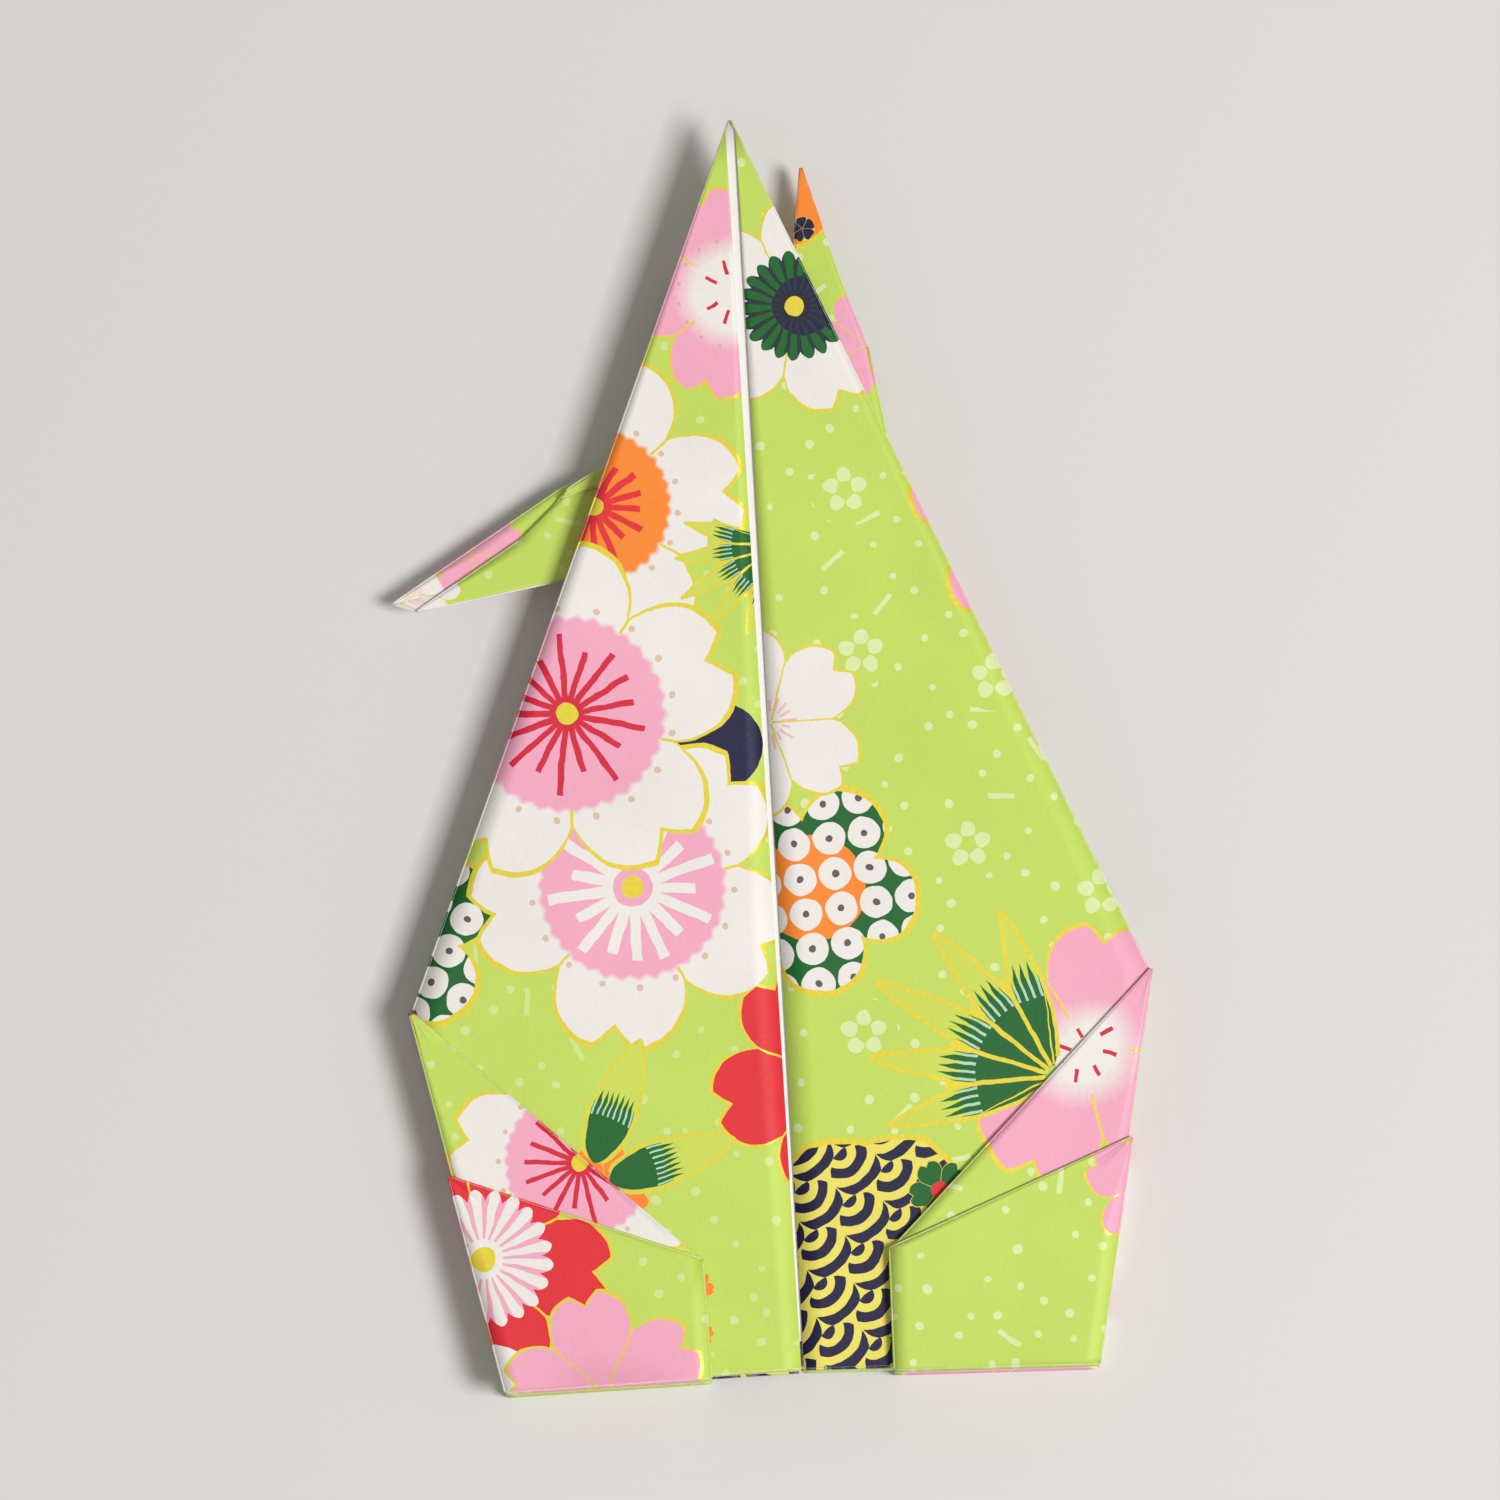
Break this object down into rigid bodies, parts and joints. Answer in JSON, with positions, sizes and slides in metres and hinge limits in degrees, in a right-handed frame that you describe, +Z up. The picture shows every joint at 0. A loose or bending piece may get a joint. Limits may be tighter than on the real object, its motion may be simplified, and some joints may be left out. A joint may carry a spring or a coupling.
{
  "type": "origami crane",
  "caption": "Flat-folded paper crane made from one square sheet, with wings together, neck and tail turned up between them and the beak to one side.",
  "frame": {"origin": "middle of the crane's outline, at table height", "axes": "+Z up from the table, +Y from the flat end towards the wing tips, -X towards the beak"},
  "size_m": [0.0456, 0.0778, 0.0041],
  "materials": {
    "printed_paper": "matt printed paper, white on the back"
  },
  "bodies": {
    "root": {"paper_crane": "printed_paper"}
  },
  "joints": []
}
